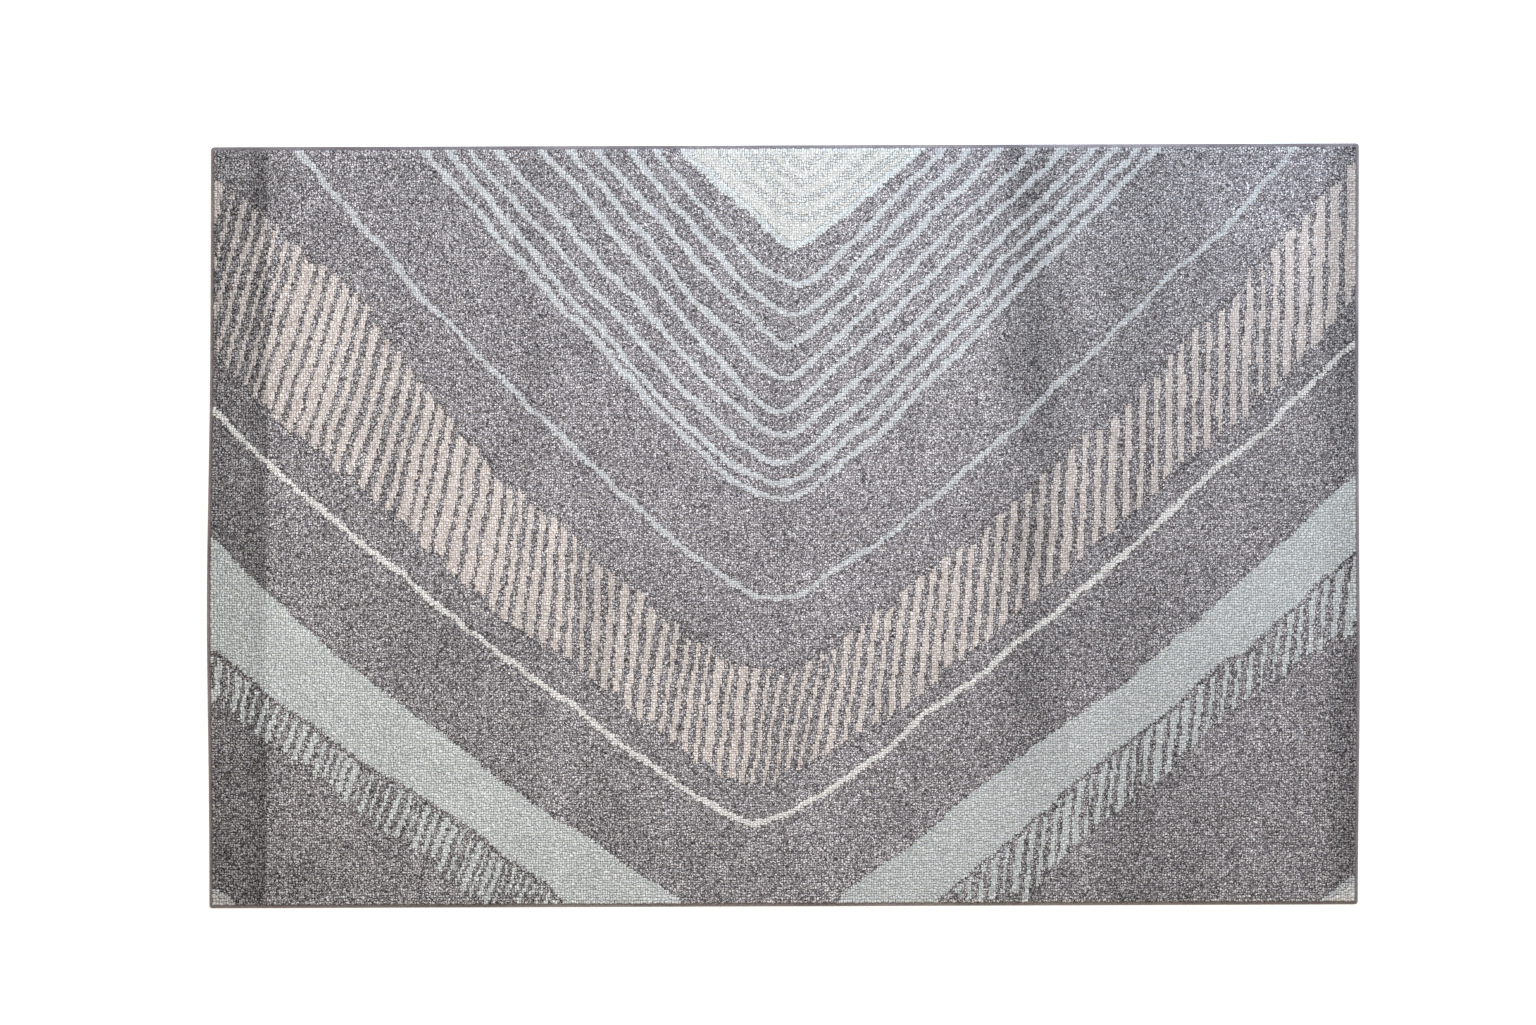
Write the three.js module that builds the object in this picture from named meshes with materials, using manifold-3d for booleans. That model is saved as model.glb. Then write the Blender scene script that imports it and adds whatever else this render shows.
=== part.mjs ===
// A machine-woven area rug with a cut pile, drawn with nested chevrons, its four edges
// bound with overlocked yarn. It lies flat on the floor.
//
// Millimetres. The origin is on the floor under the middle of the rug. +X runs along the
// rug's length, +Y across it, from the corners' end of the design to its apex, and +Z is up.
//
// From the floor up it is a latex coating, a woven ground that the binding grips all round,
// and the pile. The pile is one solid for each field, line or band of one yarn pattern.

import * as THREE from "three";
import { mergeVertices } from "three/addons/utils/BufferGeometryUtils.js";
import Module from "manifold-3d";

// Overall size.
const RUG_LENGTH = 1810;
const RUG_WIDTH = 1200;

// Layers, from the floor up.
const COATING_THICKNESS = 0.9;
const WEAVE_THICKNESS = 2;
const PILE_HEIGHT = 8.5;

// Free space between two neighbouring solids.
const CLEARANCE = 0.3;

// Overlocked binding: how far it reaches in over the rug, and the yarn's thickness round
// the rug's edge and over its face.
const BINDING_REACH = 8;
const BINDING_WRAP = 1.5;
const BINDING_CROWN = 2.2;
const BINDING_ROUND = 2.4;
const CORNER_ROUND = 5;

// Widths of the drawn lines.
const FINE_LINE_WIDTH = 12;
const WIDE_LINE_WIDTH = 11;
const IVORY_LINE_WIDTH = 11;
const APEX_OUTLINE_WIDTH = 13;
const APEX_LINE_WIDTH = 10;

// The size of the cartoon that the points below are drawn on. It is stretched to the rug.
const CARTOON_LENGTH = 1810;
const CARTOON_WIDTH = 1200;

// Heights and limits that follow from the sizes above.
const WEAVE_BOTTOM = COATING_THICKNESS + CLEARANCE;
const WEAVE_TOP = WEAVE_BOTTOM + WEAVE_THICKNESS;
const PILE_BOTTOM = WEAVE_TOP + CLEARANCE;
const BINDING_TOP = PILE_BOTTOM + BINDING_CROWN;
const FIELD_LENGTH = RUG_LENGTH - 2 * (BINDING_REACH + CLEARANCE);
const FIELD_WIDTH = RUG_WIDTH - 2 * (BINDING_REACH + CLEARANCE);
const WEAVE_LENGTH = RUG_LENGTH - 2 * (BINDING_WRAP + CLEARANCE);
const WEAVE_WIDTH = RUG_WIDTH - 2 * (BINDING_WRAP + CLEARANCE);

// How far a drawn line runs on, straight, past its first and last points, so that the
// field's edge cuts it wherever it ends.
const RUN_OUT = 260;

// Arc segments in a rounded edge.
const ROUND_STEPS = 4;

const yarns = {
  heather: new THREE.MeshStandardMaterial({ color: 0x938e93, roughness: 1, metalness: 0 }),
  duckEgg: new THREE.MeshStandardMaterial({ color: 0xb9bdbc, roughness: 1, metalness: 0 }),
  ivory: new THREE.MeshStandardMaterial({ color: 0xdfe0dc, roughness: 1, metalness: 0 }),
  blush: new THREE.MeshStandardMaterial({ color: 0xc6b2a9, roughness: 1, metalness: 0 }),
  binding: new THREE.MeshStandardMaterial({ color: 0x857d84, roughness: 0.8, metalness: 0 }),
  weave: new THREE.MeshStandardMaterial({ color: 0xb7a88e, roughness: 0.9, metalness: 0 }),
  coating: new THREE.MeshStandardMaterial({ color: 0xcfc8ba, roughness: 0.7, metalness: 0 }),
};

// The chevrons' points run from left to right. Those drawn as a list follow the
// hand-drawn run of the line, and their feet are crowded where the line bends.
const APEX_EDGE = [
  [-190, 614], [-130, 557], [-60, 490], [-10, 444], [14, 434], [42, 447], [97, 488],
  [153, 529], [250, 613],
];
const WIDE_LINE = [
  [-805, 625], [-680, 492], [-543, 335], [-415, 201], [-304, 97], [-144, -47], [-61, -104],
  [-16, -116], [28, -106], [90, -68], [230, 37], [415, 200], [622, 401], [712, 485],
  [845, 630],
];
const BLUSH_TOP = [
  [-930, 572], [-820, 498], [-750, 428], [-662, 353], [-570, 222], [-380, 28], [-205, -124],
  [-90, -205], [-25, -225], [45, -208], [195, -97], [430, 100], [690, 347], [815, 485],
  [930, 605],
];
const BLUSH_FOOT = [
  [-935, 305], [-860, 238], [-775, 144], [-665, 58], [-545, -50], [-400, -180],
  [-260, -275], [-137, -373], [-62, -406], [0, -403], [63, -369], [180, -297], [390, -121],
  [585, 52], [790, 227], [930, 385],
];
const IVORY_LINE = [
  [-935, 235], [-857, 143], [-740, 40], [-612, -66], [-447, -202], [-290, -321],
  [-173, -404], [-82, -458], [-48, -472], [-5, -460], [47, -434], [208, -318],
  [443, -125], [642, 51], [834, 222], [935, 328],
];
const BAND_TOP = [
  [-940, 25], [-870, -38], [-768, -147], [-650, -241], [-482, -370], [-355, -462],
  [-195, -568], [-110, -630], [-20, -670], [40, -632], [90, -588], [179, -518],
  [323, -403], [509, -267], [634, -166], [798, -16], [850, 38], [935, 110],
];
const BAND_FOOT = [
  [-940, -148], [-866, -216], [-781, -283], [-647, -378], [-456, -503], [-350, -590],
  [-260, -665], [0, -780], [180, -645], [248, -587], [341, -513], [434, -430], [545, -338],
  [687, -228], [820, -118], [935, -12],
];
const HATCH_FOOT = [
  [-940, -240], [-835, -318], [-695, -428], [-538, -546], [-440, -622], [-300, -720],
  [0, -850], [240, -705], [340, -622], [380, -586], [456, -511], [553, -431], [687, -316],
  [820, -212], [935, -148],
];
const CORNER_TIPS = [
  [-935, -543], [-880, -576], [-820, -613], [-600, -760], [0, -1050], [600, -800],
  [820, -615], [870, -573], [935, -520],
];

// Each fine chevron: where its arms reach the field's top edge, its foot, and how far to
// each side the foot's bend is felt.
const FINE_LINES = [
  { left: -205, foot: [23, 382], right: 255, bends: [95, 25] },
  { left: -247, foot: [20, 333], right: 296, bends: [75, 15] },
  { left: -299, foot: [5, 280], right: 342, bends: [16, 15] },
  { left: -338, foot: [0, 228], right: 394, bends: [35, 15] },
  { left: -378, foot: [-8, 178], right: 441, bends: [30, 15] },
  { left: -452, foot: [0, 143], right: 488, bends: [47, 32] },
  { left: -499, foot: [-9, 99], right: 522, bends: [50, 47] },
  { left: -531, foot: [-3, 69], right: 556, bends: [120, 50] },
  { left: -567, foot: [-3, 42], right: 586, bends: [100, 60] },
];
const APEX_LINES = [
  { left: -102, foot: [25, 483], right: 185, bends: [45, 40] },
  { left: -64, foot: [20, 511], right: 148, bends: [30, 30] },
  { left: -42, foot: [26, 538], right: 98, bends: [15, 15] },
  { left: -8, foot: [28, 563], right: 63, bends: [10, 10] },
];
const ARM_TOP = 592;

// Where the points of a fine chevron's arm lie, as parts of its reach from the foot.
const ARM_PARTS = [0.06, 0.18, 0.4, 0.7, 1.05];

const wasm = await Module();
wasm.setup();

const rug = new THREE.Group();
rug.name = "area_rug";

function addPiece(name, geometry, yarn) {
  const piece = new THREE.Mesh(geometry, yarn);
  piece.name = name;
  rug.add(piece);
}

// ---- Drawing: seams, and the outlines between them ----

// A row of stations along a smooth line through the cartoon's points. Each has a place and
// the normal that points up, into the chevron. Straight run-outs go on past both ends.
function seam(points, steps) {
  const places = points.map(([x, y]) => new THREE.Vector3(
    (x * RUG_LENGTH) / CARTOON_LENGTH,
    (y * RUG_WIDTH) / CARTOON_WIDTH,
    0,
  ));
  const line = new THREE.CatmullRomCurve3(places, false, "centripetal");
  const count = steps * (points.length - 1);
  const stations = [];
  for (let i = 0; i <= count; i++) {
    const place = line.getPoint(i / count);
    const along = line.getTangent(i / count);
    const normal = new THREE.Vector2(-along.y, along.x).normalize();
    stations.push({ place: new THREE.Vector2(place.x, place.y), normal });
  }
  return [runOut(stations[0], -1), ...stations, runOut(stations.at(-1), 1)];
}

function runOut(station, way) {
  const along = new THREE.Vector2(station.normal.y, -station.normal.x);
  const place = station.place.clone().addScaledVector(along, way * RUN_OUT);
  return { place, normal: station.normal };
}

// A fine chevron as points for a seam. Each arm is half a hyperbola: round at the foot, over
// its bend, and straight towards the field's top edge.
function chevron({ left, foot, right, bends }) {
  const [footX, footY] = foot;
  const arm = (end, bend, part) => {
    const span = end - footX;
    const climb = (reach) => Math.hypot(reach, bend) - bend;
    return [footX + span * part, footY + ((ARM_TOP - footY) * climb(span * part)) / climb(span)];
  };
  const onLeft = ARM_PARTS.map((part) => arm(left, bends[0], part));
  const onRight = ARM_PARTS.map((part) => arm(right, bends[1], part));
  return [...onLeft.reverse(), foot, ...onRight];
}

// The line beside a seam, at a distance up into the chevron, or down and out of it.
function beside(stations, distance) {
  return stations.map(({ place, normal }) => place.clone().addScaledVector(normal, distance));
}

// Keeps the part of an outline on one side of a limit: below it for side 1, above for -1.
function trim(outline, axis, limit, side) {
  const kept = [];
  outline.forEach((to, i) => {
    const from = outline.at(i - 1);
    const fromInside = side * (limit - from[axis]);
    const toInside = side * (limit - to[axis]);
    if (fromInside > 0 !== toInside > 0) {
      kept.push(from.clone().lerp(to, fromInside / (fromInside - toInside)));
    }
    if (toInside > 0) {
      kept.push(to);
    }
  });
  return kept;
}

// Drops points that all but coincide with the one before them.
function spaced(outline) {
  return outline.filter((point, i) => point.distanceTo(outline.at(i - 1)) > CLEARANCE / 4);
}

// The outline between two lines, cut off at the field's edges, or at the rug's middle.
function between(upper, lower, half) {
  const halfLength = FIELD_LENGTH / 2;
  const from = half === "right" ? 0 : -halfLength;
  const to = half === "left" ? 0 : halfLength;
  let outline = [...upper, ...lower.slice().reverse()];
  outline = trim(outline, "x", from, -1);
  outline = trim(outline, "x", to, 1);
  outline = trim(outline, "y", -FIELD_WIDTH / 2, -1);
  outline = trim(outline, "y", FIELD_WIDTH / 2, 1);
  return spaced(outline);
}

// ---- Pile ----

function pileGeometry(outline) {
  const shape = new THREE.Shape(outline);
  const geometry = new THREE.ExtrudeGeometry(shape, { depth: PILE_HEIGHT, bevelEnabled: false });
  return geometry.translate(0, 0, PILE_BOTTOM);
}

// A field of pile between two seams. Each seam's line has a width, and the field stops
// short of it, or fills it where the width is 0.
function addField(name, yarn, above, below, half) {
  const upper = beside(above.stations, -(above.width + CLEARANCE) / 2);
  const lower = beside(below.stations, (below.width + CLEARANCE) / 2);
  addPiece(name, pileGeometry(between(upper, lower, half)), yarn);
}

// A line of pile along a seam.
function addLine(name, yarn, line) {
  const reach = (line.width - CLEARANCE) / 2;
  const outline = between(beside(line.stations, reach), beside(line.stations, -reach));
  addPiece(name, pileGeometry(outline), yarn);
}

// A field with a seam on one side only, which fills the rug's corner or edge behind it.
// It is drawn far enough out for the field's edges to trim it.
function addEnd(name, yarn, line, side, half) {
  const near = beside(line.stations, (side * (line.width + CLEARANCE)) / 2);
  const far = beside(line.stations, side * RUN_OUT);
  const outline = side > 0 ? between(far, near, half) : between(near, far, half);
  addPiece(name, pileGeometry(outline), yarn);
}

// The pale wedge at the top: an outline, then ivory fields between faint chevrons.
function addApex(edge) {
  const outline = {
    stations: edge.stations.map(({ place, normal }) => ({
      place: place.clone().addScaledVector(normal, (APEX_OUTLINE_WIDTH + CLEARANCE) / 2),
      normal,
    })),
    width: APEX_OUTLINE_WIDTH,
  };
  addLine("apex_outline_pile", yarns.duckEgg, outline);
  let below = outline;
  APEX_LINES.forEach((drawn, i) => {
    const line = { stations: seam(chevron(drawn), 2), width: APEX_LINE_WIDTH };
    addField(`apex_ivory_field_${i + 1}`, yarns.ivory, line, below);
    addLine(`apex_faint_line_${i + 1}`, yarns.duckEgg, line);
    below = line;
  });
  addEnd(`apex_ivory_field_${APEX_LINES.length + 1}`, yarns.ivory, below, 1);
}

// Nine fine chevrons, with a heather strip above each. Returns the last of them.
function addFineLines(edge) {
  let above = edge;
  FINE_LINES.forEach((drawn, i) => {
    const line = { stations: seam(chevron(drawn), 2), width: FINE_LINE_WIDTH };
    addField(`heather_strip_${i + 1}`, yarns.heather, above, line);
    addLine(`fine_line_${i + 1}`, yarns.duckEgg, line);
    above = line;
  });
  return above;
}

// The wide chevrons below, down to the ivory line. Returns the ivory line.
function addWideChevrons(lastFine) {
  const wide = { stations: seam(WIDE_LINE, 2), width: WIDE_LINE_WIDTH };
  const blushTop = { stations: seam(BLUSH_TOP, 2), width: 0 };
  const blushFoot = { stations: seam(BLUSH_FOOT, 2), width: 0 };
  const ivory = { stations: seam(IVORY_LINE, 2), width: IVORY_LINE_WIDTH };
  addField("heather_field_upper", yarns.heather, lastFine, wide);
  addLine("wide_line", yarns.duckEgg, wide);
  addField("heather_field_middle", yarns.heather, wide, blushTop);
  addField("blush_striped_band", yarns.blush, blushTop, blushFoot);
  addField("heather_strip_below_blush", yarns.heather, blushFoot, ivory);
  addLine("ivory_line", yarns.ivory, ivory);
  return ivory;
}

// The plain and the hatched duck-egg bands, and the corners, on each side.
function addCornerBands(ivory) {
  const bandTop = { stations: seam(BAND_TOP, 2), width: 0 };
  const bandFoot = { stations: seam(BAND_FOOT, 2), width: 0 };
  const hatchFoot = { stations: seam(HATCH_FOOT, 2), width: 0 };
  const tips = { stations: seam(CORNER_TIPS, 1), width: 0 };
  addField("heather_field_lower", yarns.heather, ivory, bandTop);
  for (const half of ["left", "right"]) {
    addField(`duck_egg_band_${half}`, yarns.duckEgg, bandTop, bandFoot, half);
    addField(`hatched_band_${half}`, yarns.duckEgg, bandFoot, hatchFoot, half);
    addField(`heather_corner_${half}`, yarns.heather, hatchFoot, tips, half);
    addEnd(`ivory_tip_${half}`, yarns.ivory, tips, -1, half);
  }
}

// ---- Sheets under the pile ----

function sheetGeometry(length, width, thickness, bottom) {
  const geometry = new THREE.BoxGeometry(length, width, thickness);
  return geometry.translate(0, 0, bottom + thickness / 2);
}

// The coating stops at the binding's lower lip, and the weave runs on into its groove.
function addSheets() {
  addPiece(
    "latex_coating",
    sheetGeometry(FIELD_LENGTH, FIELD_WIDTH, COATING_THICKNESS, 0),
    yarns.coating,
  );
  addPiece(
    "ground_weave",
    sheetGeometry(WEAVE_LENGTH, WEAVE_WIDTH, WEAVE_THICKNESS, WEAVE_BOTTOM),
    yarns.weave,
  );
}

// ---- Binding ----

function toSolid(geometry) {
  geometry.deleteAttribute("normal");
  geometry.deleteAttribute("uv");
  const merged = mergeVertices(geometry);
  return new wasm.Manifold(new wasm.Mesh({
    numProp: 3,
    vertProperties: merged.attributes.position.array,
    triVerts: new Uint32Array(merged.index.array),
  }));
}

function toGeometry(solid) {
  const made = solid.getMesh();
  const geometry = new THREE.BufferGeometry();
  geometry.setAttribute("position", new THREE.BufferAttribute(made.vertProperties, 3));
  geometry.setIndex(new THREE.BufferAttribute(made.triVerts, 1));
  return geometry;
}

// The binding's section, seen along the edge: flat below, and round over the rug's edge.
// Its outer side is at 0 and it reaches in along +X.
function bindingSection() {
  const round = BINDING_ROUND;
  const section = new THREE.Shape();
  section.moveTo(0, 0);
  section.lineTo(BINDING_REACH, 0);
  section.absarc(BINDING_REACH - round, BINDING_TOP - round, round, 0, Math.PI / 2, false);
  section.absarc(round, BINDING_TOP - round, round, Math.PI / 2, Math.PI, false);
  return section;
}

// A bar of that section along +Y, centred, with its outer side at x = 0.
function bindingBar(length) {
  const bar = new THREE.ExtrudeGeometry(bindingSection(), {
    depth: length,
    bevelEnabled: false,
    curveSegments: ROUND_STEPS,
  });
  return bar.rotateX(Math.PI / 2).translate(0, length / 2, 0);
}

// The space inside the binding that the weave's edge fills.
function groove(length) {
  const depth = BINDING_REACH - BINDING_WRAP;
  const height = WEAVE_THICKNESS + 2 * CLEARANCE;
  const cut = new THREE.BoxGeometry(depth + CLEARANCE, length, height);
  return toSolid(cut.translate(
    BINDING_WRAP + (depth + CLEARANCE) / 2,
    0,
    COATING_THICKNESS + height / 2,
  ));
}

// The rug's outline seen from above, near one end, with its two corners rounded.
function roundedEnd() {
  const half = RUG_WIDTH / 2;
  const plan = new THREE.Shape();
  plan.moveTo(BINDING_REACH, -half);
  plan.lineTo(BINDING_REACH, half);
  plan.absarc(CORNER_ROUND, half - CORNER_ROUND, CORNER_ROUND, Math.PI / 2, Math.PI, false);
  plan.absarc(CORNER_ROUND, CORNER_ROUND - half, CORNER_ROUND, Math.PI, 1.5 * Math.PI, false);
  return toSolid(new THREE.ExtrudeGeometry(plan, {
    depth: BINDING_TOP,
    bevelEnabled: false,
    curveSegments: ROUND_STEPS,
  }));
}

// A binding down a short side of the rug, over both corners.
function shortSideBinding() {
  const inside = groove(RUG_WIDTH - 2 * BINDING_WRAP);
  return toSolid(bindingBar(RUG_WIDTH)).intersect(roundedEnd()).subtract(inside);
}

// A binding along a long side, between the other two.
function longSideBinding() {
  const length = RUG_LENGTH - 2 * (BINDING_REACH + CLEARANCE);
  return toSolid(bindingBar(length)).subtract(groove(length + CLEARANCE));
}

function addBindings() {
  const short = toGeometry(shortSideBinding());
  const long = toGeometry(longSideBinding());
  const turned = (geometry, angle) => geometry.clone().rotateZ(angle);
  const outX = RUG_LENGTH / 2;
  const outY = RUG_WIDTH / 2;
  addPiece("left_binding", short.clone().translate(-outX, 0, 0), yarns.binding);
  addPiece("right_binding", turned(short, Math.PI).translate(outX, 0, 0), yarns.binding);
  addPiece("bottom_binding", turned(long, Math.PI / 2).translate(0, -outY, 0), yarns.binding);
  addPiece("top_binding", turned(long, -Math.PI / 2).translate(0, outY, 0), yarns.binding);
}

// ---- The rug ----

const apexEdge = { stations: seam(APEX_EDGE, 2), width: 0 };
addSheets();
addBindings();
addApex(apexEdge);
const lastFineLine = addFineLines(apexEdge);
const ivoryLine = addWideChevrons(lastFineLine);
addCornerBands(ivoryLine);

export default rug;
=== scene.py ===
# %% [markdown]
# # A cut-pile area rug
#
# A woven rug is a sheet of ground weave with thousands of short yarn ends, the tufts,
# standing on it. The drawing isn't printed: each tuft is cut from yarn of one colour, so
# every line has the small steps of the loom's grid. The back is brushed with latex, and
# the four edges are overlocked with yarn.
#
# The lesson builds it in that order, around a plain solid frame that already holds each
# part's place: the camera and the light first, then the pile, the two sheets under it
# and the bindings. All lengths are in metres.

import math

import bpy
import numpy as np
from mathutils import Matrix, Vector
from mathutils.bvhtree import BVHTree


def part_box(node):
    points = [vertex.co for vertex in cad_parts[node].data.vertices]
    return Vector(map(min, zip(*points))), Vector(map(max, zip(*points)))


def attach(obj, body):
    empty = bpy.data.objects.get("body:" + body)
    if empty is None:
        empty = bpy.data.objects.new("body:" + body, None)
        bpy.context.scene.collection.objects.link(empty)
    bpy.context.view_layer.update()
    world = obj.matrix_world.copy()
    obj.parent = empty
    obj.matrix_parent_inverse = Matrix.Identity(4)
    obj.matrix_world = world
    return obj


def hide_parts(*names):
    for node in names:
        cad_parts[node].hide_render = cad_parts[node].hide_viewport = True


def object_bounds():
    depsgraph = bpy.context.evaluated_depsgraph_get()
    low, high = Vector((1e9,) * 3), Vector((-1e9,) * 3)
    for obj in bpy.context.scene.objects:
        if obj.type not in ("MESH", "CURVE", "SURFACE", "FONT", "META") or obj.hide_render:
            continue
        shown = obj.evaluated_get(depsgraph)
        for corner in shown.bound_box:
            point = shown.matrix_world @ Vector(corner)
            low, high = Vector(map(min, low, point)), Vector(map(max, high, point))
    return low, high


MM = 0.001
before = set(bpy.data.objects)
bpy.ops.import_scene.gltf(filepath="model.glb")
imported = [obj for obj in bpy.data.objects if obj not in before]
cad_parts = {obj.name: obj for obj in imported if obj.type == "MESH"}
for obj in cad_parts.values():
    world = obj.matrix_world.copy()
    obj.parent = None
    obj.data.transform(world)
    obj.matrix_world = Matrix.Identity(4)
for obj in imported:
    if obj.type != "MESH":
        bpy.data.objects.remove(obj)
cad_box = [list(corner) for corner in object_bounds()]
rug_low, rug_high = Vector(cad_box[0]), Vector(cad_box[1])
rug_length, rug_width, rug_height = rug_high - rug_low
print(f"rug {rug_length:.3f} x {rug_width:.3f} x {rug_height:.4f} m")

# %% [markdown]
# ## Camera
#
# The rug is seen from straight above, through a long lens, with room around it. The
# camera hangs where the wanted width of floor just fills its film, and it is turned by
# a fifth of a degree, as a hand-levelled camera is.

# %% Hang the camera over the rug
FLOOR_SEEN = 2.419
AIM = (-25.5 * MM, 21 * MM)
LENS = 100
FILM = 36
ROLL = math.radians(-0.2)

lens_height = rug_high.z + FLOOR_SEEN * LENS / FILM
bpy.ops.object.camera_add(location=(*AIM, lens_height), rotation=(0, 0, ROLL))
camera = bpy.context.object
camera.name = "overhead_camera"
camera.data.lens = LENS
camera.data.sensor_width = FILM
bpy.context.scene.camera = camera
bpy.context.scene.view_settings.view_transform = "Standard"
print(f"camera {lens_height:.2f} m above the floor")

# %% [markdown]
# ## Light
#
# A product studio lights a rug almost without shadow. A warm white room gives about two
# fifths of the light. A big cool softbox adds more from the far right, and a slightly
# warm one hangs over the far half, so the near corners are a little darker and warmer.

# %% Room light and two softboxes
ROOM_LIGHT = 0.72
ROOM_COLOUR = (1.0, 0.92, 0.765, 1)


def softbox(name, place, side, power, colour):
    """A square lamp that faces the middle of the rug, and isn't seen itself."""
    bpy.ops.object.light_add(type="AREA", location=place)
    lamp = bpy.context.object
    lamp.name = name
    lamp.visible_camera = False
    lamp.rotation_euler = (-Vector(place)).to_track_quat("-Z", "Y").to_euler()
    lamp.data.size = side
    lamp.data.energy = power
    lamp.data.color = colour
    return lamp


room = bpy.data.worlds.new("white_room")
room.use_nodes = True
room.node_tree.nodes["Background"].inputs["Color"].default_value = ROOM_COLOUR
room.node_tree.nodes["Background"].inputs["Strength"].default_value = ROOM_LIGHT
bpy.context.scene.world = room

softbox("cool_softbox", (0.55, 1.5, 1.9), 1.4, 43, (0.45, 0.70, 1.0))
softbox("overhead_softbox", (0, 0.35, 1.7), 1.2, 21, (1.0, 0.95, 0.87))

# %% [markdown]
# ## Colours and nodes
#
# Colours are written as sRGB hex values, as a dye card gives them, and one function
# turns them to the linear light that a shader works in. A second one adds a node with
# its settings and what goes into it.

# %% Two helpers for every material
def linear(hex_value):
    """An sRGB hex colour as linear red, green, blue and alpha."""
    parts = [int(hex_value[i : i + 2], 16) / 255 for i in (1, 3, 5)]
    curve = [p / 12.92 if p < 0.0405 else ((p + 0.055) / 1.055) ** 2.4 for p in parts]
    return (*curve, 1)


def add_node(material, kind, inputs=(), **settings):
    """A new node. `inputs` maps a socket to a value, or to another node's output."""
    node = material.node_tree.nodes.new(kind)
    for name, value in settings.items():
        setattr(node, name, value)
    for socket, value in dict(inputs).items():
        if isinstance(value, bpy.types.NodeSocket):
            material.node_tree.links.new(value, node.inputs[socket])
        else:
            node.inputs[socket].default_value = value
    return node


def new_material(name):
    """An empty material, ready for nodes."""
    material = bpy.data.materials.new(name)
    material.use_nodes = True
    material.node_tree.nodes.clear()
    return material


# %% [markdown]
# ## Floor
#
# The studio floor is a wide sheet of opal acrylic, lit faintly from below, as a light
# table for packshots is, so that it goes pure white all round the rug. It isn't part of
# the rug.

# %% Lay the white floor
FLOOR_SIDE = 40
FLOOR_GLOW = 0.45

opal = new_material("opal_acrylic_light_table")
surface = add_node(
    opal,
    "ShaderNodeBsdfPrincipled",
    {
        "Base Color": linear("#fbfbfb"),
        "Roughness": 0.9,
        "Specular IOR Level": 0.1,
        "Emission Color": (1, 1, 1, 1),
        "Emission Strength": FLOOR_GLOW,
    },
)
add_node(opal, "ShaderNodeOutputMaterial", {"Surface": surface.outputs["BSDF"]})

bpy.ops.object.select_all(action="DESELECT")
bpy.ops.mesh.primitive_plane_add(size=FLOOR_SIDE, location=(0, 0, -0.2 * MM))
floor = bpy.context.object
floor.name = "studio_floor"
bpy.ops.object.transform_apply()
floor.data.materials.append(opal)

# %% [markdown]
# ## Pile yarns
#
# The yarn is heat-set polypropylene, spun from fibres of several shades and matt all
# over. A heather yarn mixes dark and light fibres, so from above it is a salt and pepper
# of fibre bundles. That grain is a Voronoi cell of a bundle's width with a random shade
# and roughness, and each bundle is a low dome in the bump.
#
# Three attributes of the tufts steer it. `tone` gives each tuft a shade of its own.
# The second is painted light and shade: the colour goes paler or darker in patches where
# the pile leans to or from the light, as a hand brushed over velvet shows, and dark yarn
# shows that the most. It also darkens a few stripes as browner dye. `mottle` is how far
# the bundles part, and it grows where the painted shade is darker, as painted shade in
# the gaps of leaning pile.

# %% One material for each pile yarn
BUNDLE = 1.6 * MM
BUNDLE_RISE = 0.35 * MM
BUNDLE_BUMP = 0.6
LEAST_ROUGH = 0.84
ROUGH_SPREAD = 0.15
TONE_SHARE = 0.1


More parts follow.
